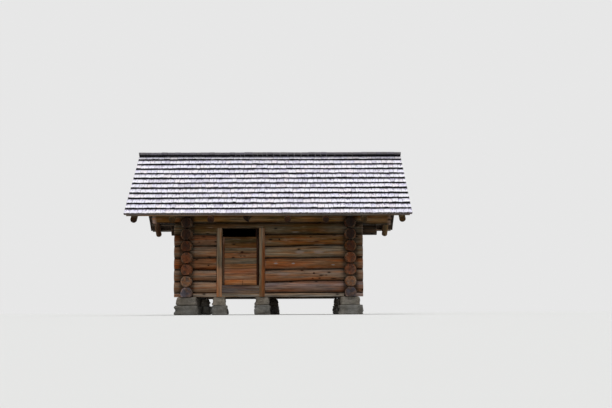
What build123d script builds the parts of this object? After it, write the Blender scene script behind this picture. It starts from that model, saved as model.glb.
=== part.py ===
from build123d import *
import math
import os

# Log cabin of round logs, laid with saddle notches, under a pole-rafter roof of split shingles.
# Millimetres. X runs along the ridge, the door side faces -Y, and Z = 0 is the ground under the piers.

# Log walls
COURSE = 230.0                 # height that each log adds to its wall
HEWN = 12.0                    # what the two flats take off a log's diameter
LOG_SPREAD = 5.0               # how far the diameters vary from log to log
LOG_SIDES = 20                 # long strokes of the drawknife round a log
POLE_SIDES = 16                # the same round a rafter
WALL_COURSES = 6               # full logs in the front and rear walls
FRONT_WALL_Y = 1700.0          # centre line of the front and rear walls
GABLE_WALL_X = 1600.0          # centre line of the two gable walls
LOG_PASS_X = 129.0             # how far front and rear logs run past the gable walls
LOG_PASS_Y = 129.0             # how far gable logs run past the front and rear walls
NOTCH_CLEAR = 0.3              # gap left all round in a saddle notch
LOG_DIA = COURSE + HEWN

# Ground works
PIER_HEIGHT = 350.0
PIER_BASE_HEIGHT = 190.0       # the lower of the two stones in each pier
SILL_THICK = 70.0
SILL_FRONT = 120.0             # how far the sill stands out from the wall's centre line
SILL_LEDGE = 45.0              # how far the sill reaches in past the back of a door post
CORNER_PIER = 430.0            # width of a stone under a corner
MIDDLE_PIER = 330.0            # width of a stone under the middle of a wall
POST_PIER = 300.0              # width of a stone under a door post
BASE_SPREAD = 60.0             # how much wider the lower stone is than the upper one
STONE_TAPER = 4.0              # slope of a stone's sides in degrees
CHOCK_GAP = 4.0                # joint between a corner chock and the log beside it

# Doorway
DOOR_LEFT = -909.0             # clear opening between the two posts
DOOR_RIGHT = -187.0
POST_LEFT_WIDTH = 108.0
POST_RIGHT_WIDTH = 113.0
POST_FRONT = 135.0             # from the wall's centre line to the front face of a post
POST_DEPTH = 270.0
LINTEL_CUT = 128.0             # depth of the step cut into the top log over the door
THRESHOLD_HEIGHT = 158.0
THRESHOLD_DEPTH = 235.0

# Door leaf
PLANK_HEIGHTS = [102.0, 106.0, 112.0, 94.0, 110.0, 106.0, 96.0, 106.0, 110.0]
PLANK_THICK = 32.0
PLANK_JOINT = 1.5              # open joint between two planks
LEAF_FRONT = 80.0              # from the wall's centre line to the front face of the planks
LEAF_CLEAR = 6.0               # gap between the leaf and what surrounds it
STAVE_DIA = 56.0               # round turning stave on the hinge side
GROOVE_DEPTH = 14.0            # groove in the stave and the stile that takes the plank ends
STILE_WIDTH = 38.0
STILE_THICK = 44.0
BATTEN_WIDTH = 95.0            # upright batten across the back of the planks
BATTEN_THICK = 28.0
BATTEN_INSET = 18.0            # how far the batten stops short of the leaf's top and bottom
BATTEN_FROM_STAVE = 330.0
PIN_DIA = 30.0
PIN_LENGTH = 50.0
PIN_CLEAR = 0.5                # gap round a pin in its socket
PIN_SEAT = 0.3                 # gap under the lower pin

# Roof
PITCH = 33.7                   # slope in degrees
EAVE_OUT = 300.0               # how far the eave stands out from the face of the wall
ROOF_LENGTH = 5600.0
PLATE_DIA = 226.0
PLATE_FLAT = 4.0               # what the flat under a plate takes off its diameter
PLATE_END_LEFT = 2280.0
PLATE_END_RIGHT = 2400.0
RAFTER_DIA = 135.0
RAFTER_FLAT = 3.0              # depth of the flat hewn along the top of a rafter
RAFTER_NOTCH = 40.0            # how deep a rafter is cut over a plate
RAFTER_PAIRS = 8
RAFTER_SPACING = 746.0
TAIL_INSET = 70.0              # from the eave edge back to the end of a rafter
RIDGE_POLE_DIA = 160.0
RIDGE_NOTCH = 20.0             # how deep a rafter is cut over the ridge pole
RIDGE_POLE_END = 70.0          # how far the ridge pole runs past the last rafter's middle
BATTEN_HEIGHT = 28.0
BATTEN_BREADTH = 60.0
BATTEN_OVERHANG = 45.0         # from the end of a batten to the verge
EAVE_BATTEN_INSET = 16.0
SHINGLE_DEPTH = 50.0           # all layers of shingles together
SHINGLE_EXPOSURE = 219.0       # bare length of one course
SHINGLE_BUTT = 18.0            # thickness of a shingle at its lower end
STARTER_SETBACK = 14.0         # the lower layer at the eave stops short of the upper one
RIDGE_COURSE_THICK = 22.0
RIDGE_COURSE_OUT = 105.0       # how far the ridge course stands up past the ridge
RIDGE_COURSE_DOWN = 300.0      # how far it reaches down the rear slope

# Floor
JOIST_WIDTH = 90.0
JOIST_HEIGHT = 80.0
JOIST_SPACING = 620.0          # from the middle of one joist to the next
FLOOR_THICK = 30.0
FLOOR_PLANKS = 13
FLOOR_JOINT = 4.0
FLOOR_MARGIN = 16.0            # gap between the floor and the faces of the logs

# Levels and lines that follow from the sizes above
SILL_TOP = PIER_HEIGHT + SILL_THICK
WALL_TOP = SILL_TOP + WALL_COURSES * COURSE
LOG_REACH = (LOG_DIA + LOG_SPREAD) / 2
JOIST_ROOM = 2 * (GABLE_WALL_X - LOG_REACH - FLOOR_MARGIN) - JOIST_WIDTH
JOIST_COUNT = int(JOIST_ROOM / JOIST_SPACING) + 1      # as many as fit between the gable walls
LOG_END_X = GABLE_WALL_X + LOG_DIA / 2 + LOG_PASS_X
LOG_END_Y = FRONT_WALL_Y + LOG_DIA / 2 + LOG_PASS_Y
SLOPE = math.radians(PITCH)
LINTEL_Z = WALL_TOP - COURSE + LINTEL_CUT
THRESHOLD_Z = SILL_TOP + THRESHOLD_HEIGHT
PLATE_Z = WALL_TOP + PLATE_DIA / 2 - PLATE_FLAT
EAVE_Y = FRONT_WALL_Y + LOG_DIA / 2 + EAVE_OUT
BATTEN_DEPTH = SHINGLE_DEPTH + BATTEN_HEIGHT
RAFTER_AXIS_DEPTH = BATTEN_DEPTH + RAFTER_DIA / 2 - RAFTER_FLAT
RAFTER_UNDER_DEPTH = RAFTER_AXIS_DEPTH + RAFTER_DIA / 2
# The ridge height is set by the plates: a rafter's underside passes over each plate at the notch depth.
RAFTER_TO_PLATE = PLATE_DIA / 2 - RAFTER_NOTCH
RIDGE_Z = PLATE_Z + FRONT_WALL_Y * math.tan(SLOPE) + (RAFTER_TO_PLATE + RAFTER_UNDER_DEPTH) / math.cos(SLOPE)
EAVE_S = EAVE_Y / math.cos(SLOPE)
RIDGE_POLE_Z = RIDGE_Z - (RIDGE_POLE_DIA / 2 - RIDGE_NOTCH + RAFTER_UNDER_DEPTH) / math.cos(SLOPE)


# Plain shapes

def box_between(x_from, x_to, y_from, y_to, z_from, z_to):
    """A box given by its lowest and highest corners."""
    centre = Pos((x_from + x_to) / 2, (y_from + y_to) / 2, (z_from + z_to) / 2)
    return centre * Box(x_to - x_from, y_to - y_from, z_to - z_from)


def upright_rod(x, y, z_from, z_to, dia):
    """A round rod standing on end."""
    return Pos(x, y, (z_from + z_to) / 2) * Cylinder(dia / 2, z_to - z_from)


def several(pieces):
    """Like pieces that share a node without touching."""
    solids = []
    for piece in pieces:
        solids.extend(piece.solids())
    return Compound(children=solids)


def in_front(solid):
    """The same piece on the other side of the ridge line."""
    return mirror(solid, about=Plane.XZ)


# Logs

def peeled_section(dia, sides, clear=0.0):
    """The section of a peeled log: round, in as many strokes of the drawknife."""
    return RegularPolygon(dia / 2 + clear, sides, rotation=180 / sides)


class Log:
    """A peeled log along X or Y, with a flat hewn above and below its middle."""

    sides = LOG_SIDES

    def __init__(self, along, across, z, start, end, dia, below=COURSE / 2, above=COURSE / 2):
        self.along = along
        self.across = across
        self.z = z
        self.start = start
        self.end = end
        self.dia = dia
        self.below = below
        self.above = above

    def solid(self, clear=0.0):
        """The log before any notch, or swollen by a clearance to cut a notch with."""
        height = self.below + self.above + 2 * clear
        band = Pos(0, (self.above - self.below) / 2) * Rectangle(2 * self.dia, height)
        section = peeled_section(self.dia, self.sides, clear) & band
        if self.along == "X":
            face = Plane(origin=(self.start, self.across, self.z), x_dir=(0, 1, 0), z_dir=(1, 0, 0))
        else:
            face = Plane(origin=(self.across, self.start, self.z), x_dir=(-1, 0, 0), z_dir=(0, 1, 0))
        return extrude(face * section, self.end - self.start)

    def over(self, crossing):
        """The log with a saddle notch in its underside over each crossing log that lies lower."""
        body = self.solid()
        for other in crossing:
            reaches = self.start < other.across < self.end
            if reaches and 0 < self.z - other.z < COURSE:
                body = body - other.solid(NOTCH_CLEAR)
        return body


def log_dia(index, turn):
    """A diameter that varies a little from log to log."""
    return LOG_DIA + LOG_SPREAD * math.sin(2.4 * index + turn)


def long_wall_logs(y, turn):
    """The full logs of the front or rear wall, from the sill up."""
    logs = []
    for course in range(WALL_COURSES):
        z = SILL_TOP + (course + 0.5) * COURSE
        logs.append(Log("X", y, z, -LOG_END_X, LOG_END_X, log_dia(course, turn)))
    return logs


def gable_wall_logs(x, turn):
    """The logs of a gable wall, half a course up; the lowest is a half log on the piers."""
    logs = []
    for course in range(WALL_COURSES + 1):
        z = SILL_TOP + course * COURSE
        below = SILL_THICK if course == 0 else COURSE / 2
        logs.append(Log("Y", x, z, -LOG_END_Y, LOG_END_Y, log_dia(course, turn), below))
    return logs


def gable_top_logs(x, turn):
    """The shorter logs that fill the triangle under the roof, up to the ridge pole."""
    logs = []
    course = WALL_COURSES + 1
    while SILL_TOP + (course - 0.5) * COURSE < RIDGE_POLE_Z - RIDGE_POLE_DIA / 2:
        z = SILL_TOP + course * COURSE
        logs.append(Log("Y", x, z, -LOG_END_Y, LOG_END_Y, log_dia(course, turn)))
        course += 1
    return logs


FRONT_LOGS = long_wall_logs(-FRONT_WALL_Y, 0.4)
REAR_LOGS = long_wall_logs(FRONT_WALL_Y, 1.7)
LEFT_LOGS = gable_wall_logs(-GABLE_WALL_X, 2.9)
RIGHT_LOGS = gable_wall_logs(GABLE_WALL_X, 4.1)
LEFT_TOP_LOGS = gable_top_logs(-GABLE_WALL_X, 2.9)
RIGHT_TOP_LOGS = gable_top_logs(GABLE_WALL_X, 4.1)
PLATE_BELOW = PLATE_DIA / 2 - PLATE_FLAT
PLATES = [
    Log("X", y, PLATE_Z, -PLATE_END_LEFT, PLATE_END_RIGHT, PLATE_DIA, PLATE_BELOW, PLATE_DIA)
    for y in (-FRONT_WALL_Y, FRONT_WALL_Y)
]
RIDGE_POLE_REACH = (RAFTER_PAIRS - 1) * RAFTER_SPACING / 2 + RIDGE_POLE_END
RIDGE_POLE = Log(
    "X", 0, RIDGE_POLE_Z, -RIDGE_POLE_REACH, RIDGE_POLE_REACH, RIDGE_POLE_DIA, RIDGE_POLE_DIA, RIDGE_POLE_DIA
)


# Piers, sills and chocks

def stone(x, y, z_from, z_to, width, turn):
    """A rough flat-topped stone with eight uneven corners, a little narrower at the top."""
    corners = []
    for corner in range(8):
        angle = math.radians(45 * corner + 22.5 + turn)
        radius = width * (0.53 + 0.025 * math.sin(2.1 * corner + turn))
        corners.append((x + radius * math.cos(angle), y + radius * math.sin(angle)))
    base = Plane.XY.offset(z_from) * make_face(Polyline(*corners, close=True))
    return extrude(base, z_to - z_from, taper=STONE_TAPER)


POST_LEFT_X = DOOR_LEFT - POST_LEFT_WIDTH
POST_RIGHT_X = DOOR_RIGHT + POST_RIGHT_WIDTH
PIER_PLACES = [
    (-GABLE_WALL_X, -FRONT_WALL_Y, CORNER_PIER),
    (GABLE_WALL_X, -FRONT_WALL_Y, CORNER_PIER),
    (-GABLE_WALL_X, FRONT_WALL_Y, CORNER_PIER),
    (GABLE_WALL_X, FRONT_WALL_Y, CORNER_PIER),
    ((POST_LEFT_X + DOOR_LEFT) / 2, -FRONT_WALL_Y, POST_PIER),
    ((POST_RIGHT_X + DOOR_RIGHT) / 2, -FRONT_WALL_Y, POST_PIER),
    (0, FRONT_WALL_Y, MIDDLE_PIER),
    (-GABLE_WALL_X, 0, MIDDLE_PIER),
    (GABLE_WALL_X, 0, MIDDLE_PIER),
]


def pier_stones(z_from, z_to, extra, turn):
    """One layer of stones, one in each pier."""
    stones = []
    for index, (x, y, width) in enumerate(PIER_PLACES):
        stones.append(stone(x, y, z_from, z_to, width + extra, turn + 11 * index))
    return several(stones)


def sill(side):
    """The plank under a long wall, wide enough inside to carry the joists."""
    outer = side * (FRONT_WALL_Y + SILL_FRONT)
    inner = side * (FRONT_WALL_Y + POST_FRONT - POST_DEPTH - SILL_LEDGE)
    reach = GABLE_WALL_X - LOG_REACH
    return box_between(-reach, reach, min(outer, inner), max(outer, inner), PIER_HEIGHT, SILL_TOP)


def post(x_from, x_to):
    """An upright at one side of the doorway, from its pier to the stepped top log."""
    front = -FRONT_WALL_Y - POST_FRONT
    return box_between(x_from, x_to, front, front + POST_DEPTH, PIER_HEIGHT, LINTEL_Z)


def corner_chocks():
    """Short blocks on the corner piers, under the ends of the lowest long-wall logs."""
    chocks = []
    half_flat = math.sqrt(LOG_DIA ** 2 - COURSE ** 2) / 2
    for x_side in (-1, 1):
        for y_side in (-1, 1):
            inner = x_side * (GABLE_WALL_X + LOG_REACH + CHOCK_GAP)
            outer = x_side * LOG_END_X
            y = y_side * FRONT_WALL_Y
            chocks.append(
                box_between(
                    min(inner, outer), max(inner, outer), y - half_flat * 1.6, y + half_flat * 1.6,
                    PIER_HEIGHT, SILL_TOP,
                )
            )
    return several(chocks)


POST_LEFT = post(POST_LEFT_X, DOOR_LEFT)
POST_RIGHT = post(DOOR_RIGHT, POST_RIGHT_X)


# Doorway and door leaf

HINGE_X = DOOR_RIGHT - LEAF_CLEAR - 2 - STAVE_DIA / 2
HINGE_Y = -FRONT_WALL_Y - LEAF_FRONT + PLANK_THICK / 2 + 8
LEAF_BACK = -FRONT_WALL_Y - LEAF_FRONT + PLANK_THICK
STAVE_BOTTOM = THRESHOLD_Z + LEAF_CLEAR
STAVE_TOP = LINTEL_Z - LEAF_CLEAR
STILE_LEFT = DOOR_LEFT + LEAF_CLEAR + 1
PLANKS_LEFT = STILE_LEFT + STILE_WIDTH - GROOVE_DEPTH
PLANKS_RIGHT = HINGE_X - STAVE_DIA / 2 + GROOVE_DEPTH
PLANKS_TOP = STAVE_BOTTOM + sum(PLANK_HEIGHTS)


def threshold():
    """The block between the posts, with the socket for the lower pin."""
    front = -FRONT_WALL_Y - POST_FRONT
    block = box_between(DOOR_LEFT, DOOR_RIGHT, front, front + THRESHOLD_DEPTH, SILL_TOP, THRESHOLD_Z)
    floor_z = STAVE_BOTTOM - PIN_LENGTH - PIN_SEAT
    return block - upright_rod(HINGE_X, HINGE_Y, floor_z, THRESHOLD_Z + 1, PIN_DIA + 2 * PIN_CLEAR)


def lintel_log():
    """The top log of the front wall, stepped over the doorway, with the socket for the upper pin."""
    log = FRONT_LOGS[-1]
    step = box_between(
        POST_LEFT_X, POST_RIGHT_X, -FRONT_WALL_Y - LOG_DIA, -FRONT_WALL_Y + LOG_DIA,
        LINTEL_Z - LOG_DIA, LINTEL_Z,
    )
    ceiling_z = STAVE_TOP + PIN_LENGTH + PIN_SEAT
    socket = upright_rod(HINGE_X, HINGE_Y, LINTEL_Z - 1, ceiling_z, PIN_DIA + 2 * PIN_CLEAR)
    return log.over(LEFT_LOGS + RIGHT_LOGS) - step - socket


def door_planks():
    """Boards laid across the leaf, their ends let into the stile and the stave."""
    planks = []
    z = STAVE_BOTTOM
    for height in PLANK_HEIGHTS:
        planks.append(
            box_between(
                PLANKS_LEFT, PLANKS_RIGHT, LEAF_BACK - PLANK_THICK, LEAF_BACK,
                z, z + height - PLANK_JOINT,
            )
        )
        z += height
    return several(planks)


def turning_stave():
    """The round pole that the leaf turns on, with a pin at each end and a groove for the planks."""
    stave = upright_rod(HINGE_X, HINGE_Y, STAVE_BOTTOM, STAVE_TOP, STAVE_DIA)
    pins = upright_rod(HINGE_X, HINGE_Y, STAVE_BOTTOM - PIN_LENGTH, STAVE_TOP + PIN_LENGTH, PIN_DIA)
    groove = box_between(
        HINGE_X - STAVE_DIA, PLANKS_RIGHT, LEAF_BACK - PLANK_THICK, LEAF_BACK,
        STAVE_BOTTOM, PLANKS_TOP,
    )
    return (stave + pins) - groove


def closing_stile():
    """The narrow upright at the free edge, grooved for the plank ends."""
    middle = LEAF_BACK - PLANK_THICK / 2
    stile = box_between(
        STILE_LEFT, STILE_LEFT + STILE_WIDTH, middle - STILE_THICK / 2, middle + STILE_THICK / 2,
        STAVE_BOTTOM, PLANKS_TOP,
    )
    groove = box_between(
        PLANKS_LEFT, STILE_LEFT + STILE_WIDTH + 1, LEAF_BACK - PLANK_THICK, LEAF_BACK,
        STAVE_BOTTOM - 1, PLANKS_TOP + 1,
    )
    return stile - groove


def back_batten():
    """The upright batten that holds the planks together inside."""
    right = HINGE_X - BATTEN_FROM_STAVE
    return box_between(
        right - BATTEN_WIDTH, right, LEAF_BACK, LEAF_BACK + BATTEN_THICK,
        STAVE_BOTTOM + BATTEN_INSET, PLANKS_TOP - BATTEN_INSET,
    )


# Roof, drawn on the front slope in its own plane: s runs down the slope from the ridge line,
# and depth runs square to the slope, from its outermost surface inwards.

SLOPE_DOWN = (0, -math.cos(SLOPE), -math.sin(SLOPE))


def slope_plane(x):
    """The plane square to X whose own axes are s and depth."""
    return Plane(origin=(x, 0, RIDGE_Z), x_dir=SLOPE_DOWN, z_dir=(1, 0, 0))


def slope_bar(x_from, x_to, s_from, s_to, depth_from, depth_to):
    """A bar along X that lies in the slope."""
    middle = Pos((s_from + s_to) / 2, (depth_from + depth_to) / 2)
    section = middle * Rectangle(s_to - s_from, depth_to - depth_from)
    return extrude(slope_plane(x_from) * section, x_to - x_from)


def shingle_slope():
    """One slope of shingles: each course is thick at its lower edge and thins out under the next."""
    points = [(SHINGLE_DEPTH * math.tan(SLOPE), SHINGLE_DEPTH)]
    points.append((EAVE_S - STARTER_SETBACK, SHINGLE_DEPTH))
    points.append((EAVE_S - STARTER_SETBACK, SHINGLE_BUTT))
    points.append((EAVE_S, SHINGLE_BUTT))
    points.append((EAVE_S, 0))
    butt = EAVE_S - SHINGLE_EXPOSURE
    while butt > SHINGLE_BUTT:
        points.append((butt, SHINGLE_BUTT))
        points.append((butt, 0))
        butt -= SHINGLE_EXPOSURE
    last_length = butt + SHINGLE_EXPOSURE
    thinning = SHINGLE_BUTT * last_length / SHINGLE_EXPOSURE
    points.append((thinning * math.tan(SLOPE), thinning))
    section = make_face(Polyline(*points, close=True))
    return extrude(slope_plane(-ROOF_LENGTH / 2) * section, ROOF_LENGTH)


def ridge_course():
    """The last course of the rear slope, which stands up past the ridge over the front slope."""
    section = Pos((RIDGE_COURSE_DOWN - RIDGE_COURSE_OUT) / 2, -RIDGE_COURSE_THICK / 2) * Rectangle(
        RIDGE_COURSE_DOWN + RIDGE_COURSE_OUT, RIDGE_COURSE_THICK
    )
    course = extrude(slope_plane(-ROOF_LENGTH / 2) * section, ROOF_LENGTH)
    return in_front(course)


def battens():
    """The battens of the front slope, one under each course of shingles."""
    bars = []
    reach = ROOF_LENGTH / 2 - BATTEN_OVERHANG
    s = EAVE_S - EAVE_BATTEN_INSET
    while s - BATTEN_BREADTH > BATTEN_DEPTH * math.tan(SLOPE):
        bars.append(slope_bar(-reach, reach, s - BATTEN_BREADTH, s, SHINGLE_DEPTH, BATTEN_DEPTH))
        s -= SHINGLE_EXPOSURE
    return several(bars)


def rafter(x):
    """A pole rafter of the front slope, cut over the plate and the ridge pole and plumb at the ridge."""
    start_y = RAFTER_AXIS_DEPTH * math.sin(SLOPE)
    start = (x, start_y, RIDGE_Z - RAFTER_AXIS_DEPTH * math.cos(SLOPE))
    length = (start_y + EAVE_Y - TAIL_INSET) / math.cos(SLOPE)
    flat_top = Pos(0, -RAFTER_FLAT / 2) * Rectangle(2 * RAFTER_DIA, RAFTER_DIA - RAFTER_FLAT)
    section = peeled_section(RAFTER_DIA, POLE_SIDES) & flat_top
    pole = extrude(Plane(origin=start, x_dir=(1, 0, 0), z_dir=SLOPE_DOWN) * section, length)
    behind = box_between(x - RAFTER_DIA, x + RAFTER_DIA, 0, 4 * RAFTER_DIA, WALL_TOP, RIDGE_Z + RAFTER_DIA)
    pole = pole - behind - PLATES[0].solid(NOTCH_CLEAR) - RIDGE_POLE.solid(NOTCH_CLEAR)
    return max(pole.solids(), key=lambda piece: piece.volume)


def rafters():
    """All the rafters of the front slope."""
    first = -(RAFTER_PAIRS - 1) * RAFTER_SPACING / 2
    return several([rafter(first + index * RAFTER_SPACING) for index in range(RAFTER_PAIRS)])


def under_roof(solid):
    """A gable log cut to the slope of the battens and grooved for the ridge pole."""
    outer = ROOF_LENGTH
    ridge = RIDGE_Z - BATTEN_DEPTH / math.cos(SLOPE)
    drop = outer * math.tan(SLOPE)
    corners = [(-outer, ridge - drop), (0, ridge), (outer, ridge - drop)]
    tent = extrude(Plane.YZ.offset(-outer) * make_face(Polyline(*corners, close=True)), 2 * outer)
    return (solid & tent) - RIDGE_POLE.solid(NOTCH_CLEAR)


# Floor

def floor_joists():
    """The joists, from the ledge of one sill to the ledge of the other."""
    reach = FRONT_WALL_Y - LOG_REACH
    bars = []
    for index in range(JOIST_COUNT):
        x = (index - (JOIST_COUNT - 1) / 2) * JOIST_SPACING
        bars.append(
            box_between(x - JOIST_WIDTH / 2, x + JOIST_WIDTH / 2, -reach, reach, SILL_TOP, SILL_TOP + JOIST_HEIGHT)
        )
    return several(bars)


def floor_planks():
    """The floor boards, laid along the cabin."""
    reach_x = GABLE_WALL_X - LOG_REACH - FLOOR_MARGIN
    reach_y = FRONT_WALL_Y - LOG_REACH - FLOOR_MARGIN
    pitch = 2 * reach_y / FLOOR_PLANKS
    bottom = SILL_TOP + JOIST_HEIGHT
    boards = []
    for index in range(FLOOR_PLANKS):
        y = -reach_y + index * pitch
        boards.append(
            box_between(-reach_x, reach_x, y, y + pitch - FLOOR_JOINT, bottom, bottom + FLOOR_THICK)
        )
    return several(boards)


# Assembly

NODES = {}


def add_ground_works():
    """Piers, chocks, sills and floor."""
    NODES["pier_base_stones"] = pier_stones(0, PIER_BASE_HEIGHT, BASE_SPREAD, 8)
    NODES["pier_cap_stones"] = pier_stones(PIER_BASE_HEIGHT, PIER_HEIGHT, 0, 23)
    NODES["corner_chocks"] = corner_chocks()
    NODES["front_sill"] = sill(-1) - POST_LEFT - POST_RIGHT
    NODES["rear_sill"] = sill(1)
    NODES["floor_joists"] = floor_joists()
    NODES["floor_planks"] = floor_planks()


def add_front_wall():
    """The front wall, log by log beside the doorway, with its posts, threshold and lintel."""
    gable_logs = LEFT_LOGS + RIGHT_LOGS
    left_bay = box_between(-2 * LOG_END_X, POST_LEFT_X, -2 * LOG_END_Y, 0, 0, WALL_TOP)
    right_bay = box_between(POST_RIGHT_X, 2 * LOG_END_X, -2 * LOG_END_Y, 0, 0, WALL_TOP)
    for course, log in enumerate(FRONT_LOGS[:-1], start=1):
        whole = log.over(gable_logs)
        NODES[f"front_log_left_{course}"] = whole & left_bay
        NODES[f"front_log_right_{course}"] = whole & right_bay
    NODES["front_lintel_log"] = lintel_log()
    NODES["door_post_left"] = POST_LEFT
    NODES["door_post_right"] = POST_RIGHT
    NODES["door_threshold"] = threshold()


def add_other_walls():
    """The rear wall and the two gables; every other log shares a node."""
    gable_logs = LEFT_LOGS + RIGHT_LOGS
    long_logs = FRONT_LOGS + REAR_LOGS
    for name, first in (("odd", 0), ("even", 1)):
        NODES[f"rear_wall_logs_{name}"] = several([log.over(gable_logs) for log in REAR_LOGS[first::2]])
        NODES[f"left_wall_logs_{name}"] = several([log.over(long_logs) for log in LEFT_LOGS[first::2]])
        NODES[f"right_wall_logs_{name}"] = several([log.over(long_logs) for log in RIGHT_LOGS[first::2]])
        NODES[f"left_gable_logs_{name}"] = several(
            [under_roof(log.over(PLATES)) for log in LEFT_TOP_LOGS[first::2]]
        )
        NODES[f"right_gable_logs_{name}"] = several(
            [under_roof(log.over(PLATES)) for log in RIGHT_TOP_LOGS[first::2]]
        )


def add_roof():
    """Plates, ridge pole, rafters, battens and shingles."""
    gable_logs = LEFT_LOGS + RIGHT_LOGS
    NODES["front_plate"] = PLATES[0].over(gable_logs)
    NODES["rear_plate"] = PLATES[1].over(gable_logs)
    NODES["ridge_pole"] = RIDGE_POLE.solid()
    NODES["front_rafters"] = rafters()
    NODES["rear_rafters"] = in_front(rafters())
    NODES["front_battens"] = battens()
    NODES["rear_battens"] = in_front(battens())
    NODES["front_shingles"] = shingle_slope()
    NODES["rear_shingles"] = in_front(shingle_slope())
    NODES["ridge_shingles"] = ridge_course()


def add_door():
    """The leaf, which turns inwards on its stave."""
    NODES["door_planks"] = door_planks()
    NODES["door_turning_stave"] = turning_stave()
    NODES["door_closing_stile"] = closing_stile()
    NODES["door_batten"] = back_batten()


add_ground_works()
add_front_wall()
add_other_walls()
add_roof()
add_door()

os.makedirs("parts", exist_ok=True)
for node_name, node_shape in NODES.items():
    export_step(node_shape, f"parts/{node_name}.step")
print("hinge", round(HINGE_X, 3), round(HINGE_Y, 3), "ridge", round(RIDGE_Z, 2), "nodes", len(NODES))
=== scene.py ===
import math
import bpy
import mathutils
import numpy as np
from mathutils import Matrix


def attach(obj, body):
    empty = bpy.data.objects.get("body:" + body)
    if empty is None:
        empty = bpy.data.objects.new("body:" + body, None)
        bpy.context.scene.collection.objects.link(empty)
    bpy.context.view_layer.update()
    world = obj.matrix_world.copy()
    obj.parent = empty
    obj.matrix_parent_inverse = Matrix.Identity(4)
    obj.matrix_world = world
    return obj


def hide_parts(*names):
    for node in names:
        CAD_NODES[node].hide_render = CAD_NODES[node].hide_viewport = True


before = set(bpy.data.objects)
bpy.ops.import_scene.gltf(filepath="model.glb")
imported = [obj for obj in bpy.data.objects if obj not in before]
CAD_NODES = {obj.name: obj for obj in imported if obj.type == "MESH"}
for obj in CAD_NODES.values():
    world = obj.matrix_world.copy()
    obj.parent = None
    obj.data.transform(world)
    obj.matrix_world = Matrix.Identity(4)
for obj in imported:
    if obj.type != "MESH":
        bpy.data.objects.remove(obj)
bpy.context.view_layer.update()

# Sizes of the cabin in metres, the same as its solids have
COURSE = 0.230  # height that each log adds to its wall
HALF_COURSE = COURSE / 2
PIER_TOP = 0.350
SILL_TOP = 0.420
WALL_TOP = 1.800
WALL_END = 1.860  # where the long walls' logs have ended, along x
LINTEL_STEP = (-1.017, -0.074, 1.698)  # from, to and height of the step over the doorway
SLOPE = math.radians(33.7)
RIDGE_Z = 3.38292
EAVE_S = 2.54942  # length of the slope from the ridge line
EXPOSURE = 0.219  # bare length of a shingle
COURSES = 12
SHINGLE_LENGTH = 0.560
SHINGLE_THICK = 0.018
SHINGLE_SINK = SHINGLE_THICK / EXPOSURE  # how fast a shingle sinks into the roof up its length
STARTER_SETBACK = 0.014
ROOF_HALF = 2.800
RIDGE_OUT = 0.105
RIDGE_DOWN = 0.300
RIDGE_THICK = 0.022
BATTEN_DEPTH = 0.078
BATTEN_HALVES = (0.030, 0.014)
RAFTER_RADIUS = 0.0675
RAFTER_FLAT = 0.003
RAFTER_AXIS_DEPTH = 0.1425
RAFTER_TAIL_Y = 2.051
CROOKED_TAIL_X = -0.373  # the rafter whose tail leans to the left
PLATE_RADIUS = 0.113
PLATE_FLAT = 0.004
RIDGE_POLE_RADIUS = 0.080
NOTCH_GAP = 0.001  # what a notch leaves free round the crossing log
FREE = 9.0  # stands for no flat on that side of a log
CHOCK_REACH = 0.03  # how much further the corner chocks reach inwards
SKIN_STEP = 1.7  # moves each piece's knots, times its seed

# Camera, set to the photograph's point of view
CAMERA_PLACE = (0.4288, -23.1076, 0.05)
CAMERA_YAW = 0.829  # degrees to the right of straight ahead
CAMERA_PITCH = 5.675  # degrees upwards
CAMERA_ROLL = -0.277
CAMERA_FOCAL = 1087.6  # in pixels of a picture 612 pixels wide
PICTURE_WIDTH = 612
SENSOR_WIDTH = 36.0

# Light and floor
KEY_STRENGTH = 1.9
KEY_SPREAD = 30  # degrees that the lamp's disc spans
KEY_LEAN = (4, 0, -12)  # degrees
KEY_COLOUR = (1.0, 0.99, 0.97)
SKY = {"Color": (0.95, 0.97, 1.0), "Strength": 0.55}  # what lights the cabin
SKY_SEEN = {"Color": (1, 1, 1), "Strength": 0.80}  # what the camera sees
FLOOR = (0.42, 0.42, 0.40)
FLOOR_SEEN = (0.70, 0.70, 0.69)
FLOOR_REACH = 400.0

UP = np.array([0.0, 0.0, 1.0])
SLOPES = ((-1, "front"), (1, "rear"))  # on which side of the ridge each slope lies

# Colours of weathered wood and stone, in sRGB from 0 to 1
TONES = {
    "olive": (0.40, 0.31, 0.17), "honey": (0.52, 0.37, 0.19), "grey": (0.53, 0.46, 0.37),
    "rust": (0.54, 0.36, 0.22), "rose": (0.56, 0.44, 0.35), "mauve": (0.53, 0.43, 0.39),
    "umber": (0.36, 0.25, 0.18), "violet": (0.40, 0.36, 0.36), "dusk": (0.33, 0.29, 0.29),
    "silver": (0.56, 0.53, 0.49), "bark": (0.31, 0.22, 0.14), "amber": (0.57, 0.35, 0.19),
    "dun": (0.52, 0.405, 0.31), "russet": (0.45, 0.30, 0.22), "chestnut": (0.42, 0.27, 0.18),
    "walnut": (0.29, 0.17, 0.10), "black_brown": (0.19, 0.125, 0.085), "peach": (0.60, 0.42, 0.31),
    "blush": (0.72, 0.62, 0.58), "eave": (0.42, 0.39, 0.36), "shingle": (0.955, 0.945, 0.978),
    "shingle_blue": (0.930, 0.922, 0.972), "shingle_dark": (0.870, 0.855, 0.905),
    "shingle_warm": (0.958, 0.935, 0.958),
    "ridge": (0.48, 0.47, 0.48), "stone": (0.55, 0.54, 0.52), "stone_warm": (0.60, 0.57, 0.53),
}


def linear(tone):
    """An sRGB colour as the linear values that the shaders take."""
    return tuple(c / 12.92 if c <= 0.04045 else ((c + 0.055) / 1.055) ** 2.4 for c in tone)


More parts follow.
